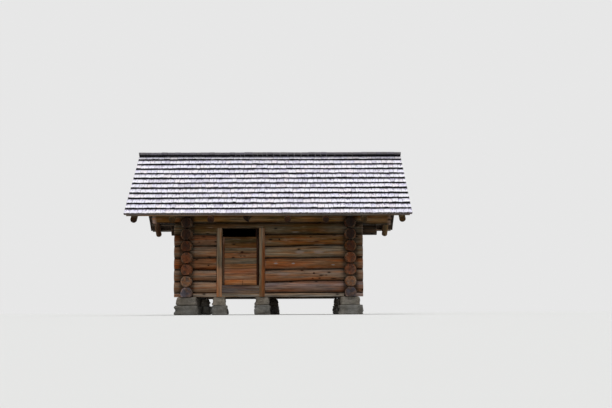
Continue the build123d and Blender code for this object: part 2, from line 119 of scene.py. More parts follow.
def tone(name, seed, spread=0.05):
    """A named tone, a little lighter or darker from piece to piece, in linear values."""
    shift = 1 + np.random.default_rng(seed + 900).uniform(-spread, spread)
    return np.array(linear(tuple(min(0.97, c * shift) for c in TONES[name])))


def seed_of(name, index=0):
    """A whole number that is always the same for a name."""
    return sum(ord(letter) * (place + 3) for place, letter in enumerate(name)) % 9973 + index * 17


# Materials

class Nodes:
    """Short calls for building the nodes of a material or of the world."""

    def __init__(self, owner):
        owner.use_nodes = True
        self.owner = owner
        self.tree = owner.node_tree

    def feed(self, made, inputs):
        """Gives each input of a node a socket or a constant; a colour is three values."""
        for key, value in inputs.items():
            target = made.inputs[key]
            if isinstance(value, bpy.types.NodeSocket):
                self.tree.links.new(value, target)
            else:
                target.default_value = (*value, 1) if target.type == "RGBA" else value

    def node(self, kind, inputs=None, **settings):
        made = self.tree.nodes.new("ShaderNode" + kind)
        for key, value in settings.items():
            setattr(made, key, value)
        self.feed(made, inputs or {})
        return made

    def mesh_values(self):
        """What a mesh tells its material: the place in the wood, the place on its skin, the colour."""
        names = (("grain", "Vector"), ("skin", "Vector"), ("tint", "Color"))
        return [self.node("Attribute", attribute_name=name).outputs[output] for name, output in names]

    def split(self, vector):
        return self.node("SeparateXYZ", {0: vector}).outputs

    def scaled(self, vector, scale):
        return self.node("VectorMath", {0: vector, 1: scale}, operation="MULTIPLY").outputs[0]

    def noise(self, vector, scale, detail=4.0, rough=0.55, distortion=0.0):
        """A noise; three scales stretch it, as along the grain."""
        if isinstance(scale, tuple):
            vector, scale = self.scaled(vector, scale), 1.0
        inputs = {"Vector": vector, "Scale": scale, "Detail": detail, "Roughness": rough}
        return self.node("TexNoise", {**inputs, "Distortion": distortion}).outputs["Fac"]

    def math(self, operation, first, second=0.5):
        return self.node("Math", {0: first, 1: second}, operation=operation).outputs[0]

    def stray(self, noise, size):
        """A noise as a length to both sides of nought."""
        return self.math("MULTIPLY", self.math("SUBTRACT", noise), size)

    def crease(self, noise):
        """How far a noise lies from its middle value: nought along thin winding lines."""
        return self.math("ABSOLUTE", self.math("SUBTRACT", noise))

    def ramp(self, value, stops):
        """A colour ramp with (position, grey or colour) stops."""
        made = self.node("ValToRGB", {0: value})
        elements = made.color_ramp.elements
        while len(elements) < len(stops):
            elements.new(0.5)
        for element, (position, colour) in zip(elements, stops):
            element.position = position
            element.color = (*(colour if isinstance(colour, tuple) else (colour,) * 3), 1)
        return made.outputs[0]

    def mix(self, share, first, second, kind="MIX"):
        """A mix of two colours; each value is a socket or a constant."""
        inputs = {0: share, 6: first, 7: second}
        return self.node("Mix", inputs, data_type="RGBA", blend_type=kind).outputs[2]

    def times(self, colour, by, share=1.0):
        return self.mix(share, colour, by, "MULTIPLY")

    def shaded(self, colour, source, stops, share=1.0):
        """A colour times the ramp of a noise or of a place."""
        return self.times(colour, self.ramp(source, stops), share)

    def seen(self):
        """Where the camera sees a thing itself or in a gloss, rather than its light."""
        rays = self.node("LightPath").outputs
        return self.math("MAXIMUM", rays["Is Camera Ray"], rays["Is Glossy Ray"])

    def finish(self, colour, roughness, specular, *bump):
        """The material, its shader fed; a bump is its height, strength and distance."""
        inputs = {"Base Color": colour, "Roughness": roughness, "Specular IOR Level": specular}
        if bump:
            inputs["Normal"] = self.node("Bump", dict(zip(("Height", "Strength", "Distance"), bump))).outputs[0]
        self.feed(self.tree.nodes["Principled BSDF"], inputs)
        return self.owner


def wood_side(name, weather=0.5, streak=1.0, knot_share=0.72, attributes=True, marks=()):
    """Weathered wood along the grain: fibre streaks, grey patches, knots and drying cracks.

    Each mark is a knot, split, pale patch or patch of painted shade at its own place on the front wall or the
    door: x, z, half its length, half its height, and how its colour is mixed in.
    """
    n = Nodes(bpy.data.materials.new(name))
    if marks or not attributes:
        place = n.node("TexCoord").outputs["Object"]
    if attributes:
        grain, skin, tint = n.mesh_values()
    else:
        x, y, z = n.split(place)
        grain = n.node("CombineXYZ", {0: z, 1: x, 2: y}).outputs[0]
        tint = linear(TONES["umber"])
    fibre = n.noise(grain, (2.0, 46, 46), 7.0, 0.66)
    fine = n.noise(grain, (9, 260, 260), 4.0, 0.6)
    patch = n.noise(grain, (1.6, 7, 7), 3.0, 0.5)
    band = n.noise(grain, (1.0, 18, 18), 3.0, 0.5)
    worn = n.noise(grain, (4.5, 24, 24), 3.0, 0.5)
    greyed = n.mix(0.6, tint, linear((0.54, 0.49, 0.42)))
    colour = n.mix(n.ramp(patch, [(0.42, 0.0), (0.62, weather)]), tint, greyed)
    warm = n.times(colour, (1.18, 0.80, 0.55))
    colour = n.mix(n.ramp(band, [(0.45, 0.0), (0.62, 0.95)]), colour, warm)
    colour = n.shaded(colour, fibre, [(0.30, 0.22), (0.47, 0.92), (0.66, 1.60)], streak)
    bare = n.mix(0.5, tint, linear((0.69, 0.61, 0.54)))
    colour = n.mix(n.ramp(worn, [(0.60, 0.0), (0.72, 0.5)]), colour, bare)
    colour = n.shaded(colour, fine, [(0.30, 0.62), (0.55, 1.06), (0.8, 1.2)], 0.6 * streak)
    split = n.crease(n.noise(grain, (1.1, 38, 38), 2.0, 0.5, 0.15))
    crack = n.ramp(split, [(0.0, 0.25), (0.010, 0.7), (0.024, 1.0)])
    cracked = n.ramp(n.noise(grain, (1.6, 7, 7), 2.0), [(0.50, 0.0), (0.60, 1.0)])
    colour = n.times(colour, crack, cracked)
    height = n.times(n.mix(0.35, fibre, fine), crack, cracked)
    if attributes:
        cells = n.node(
            "TexVoronoi", {"Vector": n.scaled(skin, (2.3, 5.2, 0.0)), "Scale": 1.0},
            voronoi_dimensions="2D", feature="F1",
        ).outputs
        draw = n.node("SeparateColor", {0: cells["Color"]}).outputs[0]
        knotty = n.math("GREATER_THAN", draw, knot_share)
        knot = [(0.0, 0.06), (0.045, 0.14), (0.075, 0.62), (0.14, 1.0)]
        colour = n.shaded(colour, cells["Distance"], knot, knotty)
    for x, z, half_x, half_z, (kind, share, shade) in marks:
        offset = n.node("VectorMath", {0: place, 1: (x, 0, z)}, operation="SUBTRACT").outputs[0]
        offset = n.scaled(offset, (1 / half_x, 0, 1 / half_z))
        far = n.node("VectorMath", {0: offset}, operation="LENGTH").outputs["Value"]
        edge = n.math("ADD", n.math("MULTIPLY", far, 0.5), n.stray(fibre, 1.1))
        colour = n.mix(n.ramp(edge, [(0.28, share), (0.62, 0.0)]), colour, shade, kind)
    return n.finish(colour, 0.86, 0.12, height, 0.6, 0.006)


def wood_end(name):
    """A sawn end: growth rings, radial checks and blotches."""
    n = Nodes(bpy.data.materials.new(name))
    grain, skin, tint = n.mesh_values()
    radius = n.split(skin)[2]
    wobble = n.math("MULTIPLY", n.noise(grain, 22.0, 3.0), 10.0)
    rings = n.math("SINE", n.math("ADD", n.math("MULTIPLY", radius, 1400.0), wobble), 0.0)
    rings = n.math("ADD", n.math("MULTIPLY", rings))
    ring_tone = n.ramp(rings, [(0.0, 0.66), (0.6, 1.0), (1.0, 1.14)])
    colour = n.times(tint, ring_tone, 0.8)
    colour = n.shaded(colour, n.noise(grain, 15.0, 4.0, 0.6), [(0.32, 0.55), (0.62, 1.25)])
    colour = n.shaded(colour, n.noise(grain, 11.0, 2.0), [(0.40, (0.78, 0.86, 1.02)), (0.60, (1.30, 1.0, 0.78))])
    colour = n.shaded(colour, radius, [(0.0, 0.62), (0.030, 0.92), (0.080, 1.0), (0.098, 1.10), (0.108, 1.7)])
    spoke = n.crease(n.noise(skin, (3.6, 3.6, 1.2), 2.0, 0.6))
    check = n.ramp(spoke, [(0.0, 0.22), (0.010, 0.6), (0.026, 1.0)])
    return n.finish(n.times(colour, check), 0.9, 0.2, n.times(ring_tone, check), 0.5, 0.005)


# What streaks and stains do to a shingle, and how it darkens at its very lower edge and up towards the next
# course: painted shade of the butts, with some soiling
SHINGLE_STREAKS = [(0.30, (0.62, 0.59, 0.70)), (0.42, (1.0, 1.0, 1.0)), (0.7, (1.04, 1.04, 1.03))]
SHINGLE_BLOTS = [
    (0.36, (0.10, 0.08, 0.12)), (0.41, (0.64, 0.57, 0.78)), (0.47, (0.94, 0.91, 1.0)), (0.53, (1.0, 1.0, 1.0)),
]
SHINGLE_SHADE = [
    (0.0, 0.02), (0.007, 0.10), (0.015, 1.0), (0.100, 1.0), (0.146, 0.90), (0.160, 0.70), (0.168, 0.30),
    (0.176, 0.02), (0.22, 0.002),
]


def shingle_top(name, contrast=1.0, stained=True):
    """The weathered silver face of split shingles: streaks, specks, stains, edges darker beside the next shingle,
    and painted shadow under the butts of the course above.
    """
    n = Nodes(bpy.data.materials.new(name))
    grain, skin, tint = n.mesh_values()
    run, beside, _ = n.split(skin)
    fibre = n.noise(grain, (3.0, 80, 80), 6.0, 0.64)
    coarse = n.noise(grain, (6.0, 26, 26), 3.0, 0.6)
    colour = n.shaded(tint, fibre, [(0.30, 0.62), (0.43, 1.0), (0.62, 1.05)], 0.8 * contrast)
    colour = n.shaded(colour, coarse, SHINGLE_STREAKS, 0.85 * contrast)
    colour = n.shaded(colour, n.noise(grain, (30, 90, 90), 3.0, 0.6), [(0.28, 0.10), (0.36, 1.0)], contrast)
    colour = n.shaded(colour, beside, [(0.0, 0.55), (0.003, 0.88), (0.008, 1.0)], 0.7)
    if stained:
        upper = n.ramp(run, [(0.070, 0.0), (0.125, 1.0)])
        colour = n.shaded(colour, n.noise(grain, (9, 42, 42), 4.0, 0.65), SHINGLE_BLOTS, upper)
    # painted shadow under the butts of the course above, with some soiling, its edge a little uneven
    uneven = n.math("ADD", run, n.stray(n.noise(grain, (5, 34, 34), 3.0), 0.07))
    colour = n.shaded(colour, uneven, SHINGLE_SHADE)
    return n.finish(colour, 0.80, 0.15, n.mix(0.4, fibre, coarse), 0.5, 0.004)


def shingle_butt(name, darkening):
    """The lower ends of the shingles: end grain, painted nearly black as shade, paler at the eave."""
    n = Nodes(bpy.data.materials.new(name))
    grain, _, tint = n.mesh_values()
    streak = n.noise(grain, (1, 150, 40), 4.0, 0.6)
    colour = n.shaded(n.times(tint, darkening), streak, [(0.3, 0.35), (0.7, 1.5)])
    return n.finish(colour, 0.9, 0.1, streak, 0.5, 0.003)


def rough_stone(name):
    """Grey field stone with grains, stains and a little lichen."""
    n = Nodes(bpy.data.materials.new(name))
    place, _, tint = n.mesh_values()
    cloud = n.noise(place, 7.0, 5.0, 0.6)
    grit = n.noise(place, 95.0, 4.0, 0.7)
    darkening = n.noise(place, 3.2, 3.0, 0.5)
    colour = n.shaded(tint, cloud, [(0.3, 0.66), (0.65, 1.16)])
    colour = n.shaded(colour, grit, [(0.3, 0.62), (0.6, 1.14)], 0.8)
    colour = n.shaded(colour, darkening, [(0.38, (0.72, 0.66, 0.58)), (0.6, (1.0, 1.0, 1.0))], 0.7)
    lichen = n.ramp(n.noise(place, 30.0, 4.0, 0.7), [(0.60, 0.0), (0.68, 0.55)])
    colour = n.mix(lichen, colour, linear((0.62, 0.63, 0.52)))
    fissure = n.ramp(n.crease(n.noise(place, 5.0, 2.0, 0.5, 0.6)), [(0.0, 0.45), (0.010, 1.0)])
    height = n.times(n.mix(0.45, cloud, grit), fissure, 0.8)
    return n.finish(n.times(colour, fissure, 0.8), 0.92, 0.2, height, 0.9, 0.012)


# Knots, splits and pale patches of the front wall and the door, and painted shade at the leaf's right edge: x, z,
# half sizes, shade
DARK = ("MULTIPLY", 1.0, (0.05, 0.035, 0.03))
BROWN = ("MULTIPLY", 1.0, (0.26, 0.14, 0.09))
PALE = ("MIX", 0.75, (0.36, 0.33, 0.32))
SOFT = ("MIX", 0.40, (0.32, 0.29, 0.28))
FRONT_MARKS = [
    (0.210, 1.470, 0.020, 0.016, DARK), (0.827, 1.522, 0.034, 0.010, DARK), (1.294, 1.464, 0.040, 0.012, BROWN),
    (0.950, 1.428, 0.060, 0.009, BROWN), (0.652, 0.856, 0.030, 0.011, BROWN), (0.885, 0.809, 0.021, 0.018, DARK),
    (1.028, 0.766, 0.045, 0.010, DARK), (1.126, 0.770, 0.022, 0.008, BROWN), (0.997, 0.708, 0.030, 0.012, DARK),
    (0.860, 0.704, 0.024, 0.010, BROWN), (1.270, 0.702, 0.060, 0.008, DARK), (0.911, 1.306, 0.160, 0.007, BROWN),
    (0.140, 1.004, 0.050, 0.017, PALE), (0.484, 0.998, 0.034, 0.013, PALE), (1.263, 0.969, 0.036, 0.008, PALE),
    (0.977, 1.223, 0.100, 0.034, SOFT), (0.613, 1.217, 0.080, 0.030, SOFT), (0.302, 0.790, 0.130, 0.026, SOFT),
    (0.523, 1.618, 0.080, 0.007, SOFT), (-1.358, 1.423, 0.026, 0.010, BROWN), (-1.040, 1.430, 0.020, 0.012, DARK),
    (-1.176, 0.965, 0.024, 0.014, DARK), (-1.305, 0.912, 0.080, 0.006, BROWN),
]
DOOR_MARKS = [
    (-0.520, 1.229, 0.026, 0.018, BROWN), (-0.473, 1.147, 0.026, 0.013, BROWN),
    (-0.545, 1.145, 0.014, 0.010, DARK), (-0.508, 0.632, 0.005, 0.050, DARK),
    (-0.700, 1.128, 0.014, 0.010, BROWN),
]
# Painted shade at the leaf's right edge: the right post's shadow down its height, over wood darker than the
# weathered front, and deeper painted shade at its top, in the gap above the planks
STAVE_MARKS = [
    (-0.222, 1.100, 0.035, 2.000, ("MULTIPLY", 1.0, (0.42, 0.32, 0.28))),
    (-0.222, 1.640, 0.050, 0.200, ("MULTIPLY", 1.0, (0.20, 0.20, 0.22))),
]
LOG_SIDE = wood_side("log_side")
FRONT_SIDE = wood_side("front_log_side", marks=FRONT_MARKS)
LOG_END = wood_end("log_end")
BOARD_SIDE = wood_side("board_side", 0.7, 1.0, 0.82)
POST_SIDE = wood_side("post_side", 0.7, 0.85, 0.86)
PLANK_SIDE = wood_side("plank_side", 0.45, 0.9, 0.70, marks=DOOR_MARKS)
STAVE_WOOD = wood_side("stave_wood", 0.3, 1.0, attributes=False, marks=STAVE_MARKS)
SHINGLE_WOODS = [
    # The butts and undersides of the shingles are painted dark as shade; the eave's butts, less in shade, are
    # painted paler
    shingle_top("shingle_top"), shingle_butt("shingle_butt", (0.016, 0.013, 0.016)),
    shingle_butt("eave_butt", (0.24, 0.205, 0.175)), shingle_butt("shingle_under", (0.060, 0.042, 0.028)),
]
RIDGE_WOOD = shingle_top("ridge_top", 1.2, False)
STONE = rough_stone("rough_stone")


# Meshes

def smooth_noise(rows, cols, cell_rows, cell_cols, rng, wrap=True):
    """A grid of smooth random values from -1 to 1, its cells of the given size in steps."""
    knot_rows = max(2, int(rows / cell_rows) + 2)
    knot_cols = max(3, int(round(cols / cell_cols)))
    knots = rng.uniform(-1, 1, (knot_rows, knot_cols if wrap else knot_cols + 2))
    r = np.linspace(0, knot_rows - 1.001, rows)[:, None]
    c = (np.arange(cols) / cols * knot_cols if wrap else np.linspace(0, knot_cols + 0.999, cols))[None, :]
    r0, c0 = r.astype(int), c.astype(int)
    r1, c1 = np.minimum(r0 + 1, knot_rows - 1), (c0 + 1) % knots.shape[1]
    fr, fc = (part * part * (3 - 2 * part) for part in (r - r0, c - c0))
    top = knots[r0, c0] * (1 - fc) + knots[r0, c1] * fc
    low = knots[r1, c0] * (1 - fc) + knots[r1, c1] * fc
    return top * (1 - fr) + low * fr


def wave(rows, cell, rng):
    """Smooth random values from -1 to 1 along a bar, with bumps of the given size in steps."""
    return smooth_noise(rows, 1, cell, 1, rng, wrap=False)


def grain_shift(rng):
    """How far a piece's grain is moved, so that no two pieces show the same."""
    return rng.uniform(0, 40, 3)


def stacked(*values):
    """Three values per point, from grids and plain numbers."""
    return np.stack(np.broadcast_arrays(*values), -1)


def flipped(faces):
    """The same faces, turned to the other side."""
    return [face[::-1] for face in faces]


def placed(name, data):
    """A new object in the scene."""
    made = bpy.data.objects.new(name, data)
    bpy.context.scene.collection.objects.link(made)
    return made


class Build:
    """Gathers the shapes of one piece and makes a single mesh of them."""

    def __init__(self):
        self.values = []
        self.faces = []
        self.slots = []
        self.smooth = []
        self.count = 0

    def add(self, points, faces, slot, smooth, grain, skin, tint):
        """One set of points and faces, and what their material reads."""
        values = [np.asarray(value, float).reshape(-1, 3) for value in (points, grain, skin, tint)]
        count = len(values[0])
        self.values.append([value * np.ones((count, 1)) for value in values])
        self.faces.extend([[i + self.count for i in face] for face in faces])
        self.slots.extend([slot] * len(faces))
        self.smooth.extend([smooth] * len(faces))
        self.count += count

    def finish(self, node, materials, slot, body="cabin", sharp=40.0):
        """The piece as an object that stands for its node."""
        points, grain, skin, tint = (np.concatenate(values) for values in zip(*self.values))
        mesh = bpy.data.meshes.new(node + ".dressed")
        mesh.from_pydata(points.tolist(), [], self.faces)
        for material in materials:
            mesh.materials.append(material)
        mesh.polygons.foreach_set("material_index", np.array(self.slots, np.int32))
        mesh.polygons.foreach_set("use_smooth", np.array(self.smooth, bool))
        for name, kind, key, values in (
            ("grain", "FLOAT_VECTOR", "vector", grain), ("skin", "FLOAT_VECTOR", "vector", skin),
            ("tint", "FLOAT_COLOR", "color", np.hstack([tint, np.ones((len(tint), 1))])),
        ):
            attribute = mesh.attributes.new(name, kind, "POINT")
            attribute.data.foreach_set(key, values.astype(np.float32).ravel())
        mesh.update()
        mesh.set_sharp_from_angle(angle=math.radians(sharp))
        piece = placed(mesh.name, mesh)
        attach(piece, body)
        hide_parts(node)


class Line:
    """The line of a bar: where it starts, the way it runs, its up direction and its length."""

    def __init__(self, start, end, up, radius=0.0, below=FREE, above=FREE, wall=0):
        self.start, self.up = np.array(start, float), np.array(up, float)
        run = np.array(end, float) - self.start
        self.length = float(np.linalg.norm(run))
        self.along = run / self.length
        self.across = np.cross(self.up, self.along)
        self.radius, self.below, self.above, self.wall = radius, below, above, wall

    def at(self, t, u, v):
        """Points at distance t along the line and u, v beside it."""
        ways = ((t, self.along), (u, self.across), (v, self.up))
        return sum((value[..., None] * way for value, way in ways), self.start)


def tube_faces(rows, cols):
    """The faces of a grid of points that closes on itself round the bar."""
    pairs = [(j, (j + 1) % cols) for j in range(cols)]
    starts = range(0, (rows - 1) * cols, cols)
    return [[a + j, a + k, a + cols + k, a + cols + j] for a in starts for j, k in pairs]


def tube_caps(rows, cols):
    """The rows of points at both ends of a tube, each with the face that closes it."""
    ring = list(range(cols))
    return (0, ring[::-1]), (rows - 1, ring)


def slab_faces(rows, cols):
    """The faces between two grids of points, upper then lower: the top, the rest and the first edge."""
    low = rows * cols
    last = low - cols
    tops = []
    rest = []
    for a in range(0, last, cols):
        b = a + cols - 1
        for c in range(a, b):
            tops.append([c, c + 1, c + cols + 1, c + cols])
            rest.append([low + c, low + c + cols, low + c + cols + 1, low + c + 1])
        rest.append([a, a + cols, low + a + cols, low + a])
        rest.append([b, low + b, low + b + cols, b + cols])
    edge = [[c, low + c, low + c + 1, c + 1] for c in range(cols - 1)]
    rest += [[c, c + 1, low + c + 1, low + c] for c in range(last, low - 1)]
    return tops, rest, edge


def end_values(line, points, centre, shift, pith):
    """What the end-grain material reads: a place, and the direction and distance from the pith."""
    offset = points - centre
    u = offset @ line.across - pith[0]
    v = offset @ line.up - pith[1]
    distance = np.sqrt(u ** 2 + v ** 2)
    safe = np.maximum(distance, 1e-4)
    return stacked(0, u, v) + shift, stacked(u / safe, v / safe, distance)


def add_end(build, line, rim, sign, tint, seed, shift, pith):
    """The sawn face at one end of a log, as rings of faces round its middle."""
    rng = np.random.default_rng(seed)
    centre = rim.mean(0)
    cols = len(rim)
    rings = []
    for share in (1.0, 0.82, 0.6, 0.36, 0.15):
        dish = rng.uniform(0, 0.0016, (cols, 1)) * (share < 1)
        rings.append(centre + (rim - centre) * share - line.along * sign * dish)
    points = np.concatenate([*rings, centre[None, :]])
    last = (len(rings) - 1) * cols
    faces = tube_faces(len(rings), cols)
    faces += [[last + j, last + (j + 1) % cols, last + cols] for j in range(cols)]
    grain, skin = end_values(line, points, centre, shift, pith)
    build.add(points, faces if sign > 0 else flipped(faces), 1, False, grain, skin, tint)


# Logs

LOG_INSET = 0.0030  # keeps a log's swellings inside its solid
CRACK_DEEP = 0.011
CRACK_WIDE = 0.016  # in radians round the log
CRACK_ANGLES = np.array([-0.06, -0.018, 0.0, 0.018, 0.06])  # points round a crack, in radians
FLAT_CREST = 0.93  # the sine from which a log's section lies flat on the next log
TIP_EDGE = 0.02  # over what length a bare tip ends
END_REACH = 0.11  # how far from its end a log is rounded off
DRIFT = np.array([0.16, 0.05, -0.08])  # how a log's colour strays, in red, green and blue
SKY_AND_WEATHER = np.array([0.15, 0.28, 0.42])  # how its upper side is painted paler and greyer, as sky light from above, with weathering
# Painted shade with some soiling in the creases at a log's joints, lighter on its lit upper side, and painted
# shadow of a crossing log round each notch
JOINT_SOIL_AND_SHADE_BELOW = ([0.0, 0.014, 0.034], [0.05, 0.20, 1.0])  # painted shade with some soiling in the crease beside the joint below: distances and shades
JOINT_SOIL_AND_SHADE_ABOVE = ([0.0, 0.009, 0.018], [0.22, 0.75, 1.0])
NOTCH_SHADOW = ([0.004, 0.055], [0.30, 1.0])


def log_stations(line, notches, hard, step, bevel):
    """Where a log's rings of points lie: closer at its notches, in pairs at a hard edge."""
    stations = [np.arange(0.035, line.length - 0.02, step)]
    for place, reach in notches:
        stations.append(place + reach * np.sin(np.linspace(-math.pi / 2, math.pi / 2, 15)))
        stations.append(np.array([place - reach - 0.004, place + reach + 0.004]))
    stations = np.sort(np.concatenate(stations))
    stations = stations[(stations > bevel + 0.008) & (stations < line.length - bevel - 0.008)]
    keep = []
    for value in stations:
        if (not keep or value - keep[-1] > 0.0025) and all(abs(value - place) > 0.003 for place in hard):
            keep.append(value)
    for place in hard:
        keep.extend([place - 0.0003, place + 0.0003])
    return np.array([0.0, bevel, *sorted(keep), line.length - bevel, line.length])


def log_angles(sides, cracks):
    """Where the points lie round a log: closer at its drying cracks."""
    angle = -math.pi / 2 + np.arange(sides) / sides * 2 * math.pi
    for place in cracks:
        angle = angle[np.abs(angle - place) > 0.08]
        angle = np.append(angle, place + CRACK_ANGLES)
    return np.sort(angle)


def add_log(
    build, line, seed, tint, end_tint, notches=(), shapers=(), hard=(), ends=None, seams=None,
    bend=0.004, rough=0.0020, step=0.055, cracks=2, bevel=0.006, taper=0.003, lean=None, sides=44, snub=0.0,
    joint_soil_and_shade=True, tips=None, damp=(0.0, 1.0), wash=0.0,
):
    """A peeled log with its swellings, drying cracks, saddle notches and sawn ends.

    tips is how far the bare wood reaches from each end, and its colour. The next setting is how far the right end
    is darker, as painted shade, and by how much. The last is how much paler and greyer the upper side is: painted
    sky light, with weathering.
    """
    rng = np.random.default_rng(seed)
    body = log_stations(line, notches, hard, step, bevel)
    crack_places = rng.uniform(-0.5, math.pi + 0.5, cracks)
    angle = log_angles(sides, crack_places)[None, :]
    rows = len(body)
    cols = angle.size
    r = line.radius - LOG_INSET + smooth_noise(rows, cols, 9, 11, rng) * rough * 1.4
    r = r + smooth_noise(rows, cols, 3, 5, rng) * rough * 0.6
    r = r + (0.5 - body[:, None] / line.length) * rng.uniform(-taper, taper)
    for place in crack_places:
        deep = CRACK_DEEP * np.clip(wave(rows, 7, rng) + 0.30, 0, 1)
        r = r - deep * np.exp(-((angle - place) / CRACK_WIDE) ** 2)
    r[[0, -1]] -= bevel * 0.8
    u = wave(rows, 16, rng) * bend + r * np.cos(angle)
    v = wave(rows, 16, rng) * bend * 0.6 + r * np.sin(angle) * 1.03
    if lean is not None:
        u, v = lean(body[:, None], u, v)
    low = np.full((rows, 1), -line.below)
    high = np.full((rows, 1), line.above)
    if seams is not None:
        at = (line.start[:2] @ np.abs(line.along[:2]) + body)[:, None]
        lower, upper = seams(-line.below, at), seams(line.above, at)
        if line.wall == 0:
            v = v + (lower + upper) / 2
        low = low + lower
        high = high + upper
        crest = np.sin(angle)
        if line.above < 1:
            v = np.where(crest > FLAT_CREST, np.maximum(v, high), v)
        if line.below < 1:
            v = np.where(crest < -FLAT_CREST, np.minimum(v, low), v)
    v = np.clip(v, low, high)
    t = np.broadcast_to(body[:, None], u.shape)
    drift = smooth_noise(rows, cols, 5, 9, rng)[..., None]
    shade = tint * (1 + drift * DRIFT)
    # upper side painted paler and greyer as sky light from above, lower side browner, with weathering
    shade = shade * (1 + wash * np.interp(v, [-0.075, 0.065], [-1, 1])[..., None] * SKY_AND_WEATHER)
    # painted shade with some soiling at the joints, and the crossing logs' painted shadow beside the notches
    if joint_soil_and_shade:
        soil_and_shade = np.interp(v - low, *JOINT_SOIL_AND_SHADE_BELOW) * np.interp(high - v, *JOINT_SOIL_AND_SHADE_ABOVE)
        for place, reach in notches:
            soil_and_shade = soil_and_shade * np.interp(np.abs(t - place) - reach, *NOTCH_SHADOW)
        shade = shade * soil_and_shade[..., None]
    # painted shade over the right end of the log
    shade = shade * np.where(t > line.length - damp[0], damp[1], 1.0)[..., None]
    if tips is not None:
        first, last, bare = tips
        share = np.clip(np.maximum(first - t, t - line.length + last) / TIP_EDGE, 0, 1)
        shade = shade + (bare - shade) * 0.8 * share[..., None]
    near_end = np.minimum(body, line.length - body)[:, None]
    squeeze = np.clip((END_REACH - near_end) / END_REACH, 0, 1)
    u = u * (1 - snub * squeeze)
    v = v * (1 - snub * 0.6 * squeeze)
    if ends is not None:
        first, last = ends(v)
        t = first + t / line.length * (last - first)
    points = line.at(t, u, v)
    for shaper in shapers:
        points = shaper(points)
    shift = grain_shift(rng)
    skin = stacked(t + seed * SKIN_STEP, (angle + math.pi) * line.radius, 0)
    build.add(points, tube_faces(rows, cols), 0, True, stacked(t, u, v) + shift, skin, shade)
    pith = rng.uniform(-0.012, 0.012, 2)
    add_end(build, line, points[0], -1, end_tint, seed, shift, pith)
    add_end(build, line, points[-1], 1, end_tint * 0.92, seed + 1, shift, pith)


def out_of(other, lift):
    """Moves points that lie inside another log out of it: one side of a saddle notch."""
    side = np.cross(other.along, lift)
    radius = other.radius + NOTCH_GAP

    def shaper(points):
        relative = points - other.start
        run, a, b = relative @ other.along, relative @ side, relative @ lift
        inside = (run > -0.01) & (run < other.length + 0.01) & (a ** 2 + b ** 2 < radius ** 2)
        rise = np.sqrt(np.clip(radius ** 2 - a ** 2, 0, None)) - b
        return points + np.where(inside, rise, 0.0)[..., None] * lift

    return shaper


def islands(node):
    """The low and high corners of each separate solid in a CAD node."""
    mesh = CAD_NODES[node].data
    co = np.array([v.co for v in mesh.vertices], float)
    keys = {}
    same = [keys.setdefault(tuple(np.round(p, 5)), len(keys)) for p in co]
    parent = list(range(len(keys)))

    def root(i):
        while parent[i] != i:
            parent[i] = parent[parent[i]]
            i = parent[i]
        return i

    for edge in mesh.edges:
        first, last = (root(same[index]) for index in edge.vertices)
        parent[last] = first
    groups = {}
    for index, key in enumerate(same):
        groups.setdefault(root(key), []).append(index)
    boxes = [(co[group].min(0), co[group].max(0)) for group in groups.values()]
    return sorted(boxes, key=lambda box: [round(float(value), 3) for value in box[0][::-1]])


WALLS = ("front", "rear", "left", "right")  # the two long walls first, then the gables
SECTION_SPREAD = math.cos(math.radians(9))  # from corner to flat of a section with 20 sides


def log_line(name, low, high):
    """The line of a level log, from the box of its solid."""
    wall = WALLS.index(name.split("_")[0])
    beside = 1 if wall < 2 else 0
    if "plate" in name:
        radius, below, above = PLATE_RADIUS, PLATE_RADIUS - PLATE_FLAT, FREE
        middle = low[2] + below
    else:
        radius, above = (high - low)[beside] / 2 / SECTION_SPREAD, HALF_COURSE
        middle = high[2] - above
        below = middle - low[2]
    ends = np.array([low, high])
    ends[:, beside] = (low + high)[beside] / 2
    ends[:, 2] = middle
    return Line(*ends, UP, radius, below, above, wall)


def crossings(line, others):
    """The crossing logs that a level log is notched over, and the notches' places along it."""
    shapers = []
    places = []
    for other in others:
        drop = line.start[2] - other.start[2]
        place = float((other.start - line.start) @ line.along)
        if abs(line.along @ other.along) < 0.5 and 0 < drop < COURSE and 0 < place < line.length:
            shapers.append(out_of(other, UP))
            places.append((place, other.radius + NOTCH_GAP))
    return shapers, places


# How far the joints right of the doorway sink at its post and rise at the corner, from the sill up
SEAM_RISES = [0.0, 0.014, 0.011, 0.006, 0.014, 0.004]
SEAM_RISE_PLACES = [LINTEL_STEP[0], LINTEL_STEP[0] + 0.017, LINTEL_STEP[1], 1.40, 1.50, WALL_END]
SEAM_RISE_SHARES = [0, -1, -1, 1, 0.6, 0.6]
SEAM_WAVES = ((0.0052, 2.3, 1.0), (0.0030, 6.1, 1.7))  # height, radians a metre, share of the joint's phase


def seam_waves(line):
    """How the joint with the next log strays from level; the two logs share it."""

    def stray(edge, at):
        height = round(float(line.start[2] + edge), 3)
        if min(abs(height - level) for level in (SILL_TOP, WALL_TOP, PIER_TOP)) < 0.004 or abs(edge) > 0.12:
            return 0.0 * at
        phase = line.wall * 2.1 + height * 37.0
        waves = sum(tall * np.sin(at * turns + phase * share) for tall, turns, share in SEAM_WAVES)
        rise = SEAM_RISES[int(round((height - SILL_TOP) / COURSE))] if line.wall == 0 else 0.0
        return waves + rise * np.interp(at, SEAM_RISE_PLACES, SEAM_RISE_SHARES)

    return stray


def under_battens(line):
    """Cuts a gable log's ends to the slope of the battens."""
    ridge = RIDGE_Z - BATTEN_DEPTH / math.cos(SLOPE)

    def ends(v):
        reach = np.minimum(line.length / 2, (ridge - line.start[2] - v) / math.tan(SLOPE))
        return line.length / 2 - reach, line.length / 2 + reach

    return ends


def lintel_step(points):
    """Steps the top log up over the doorway."""
    left, right, level = LINTEL_STEP
    inside = (points[..., 0] > left) & (points[..., 0] < right) & (points[..., 2] < level)
    points[..., 2] = np.where(inside, level, points[..., 2])
    return points


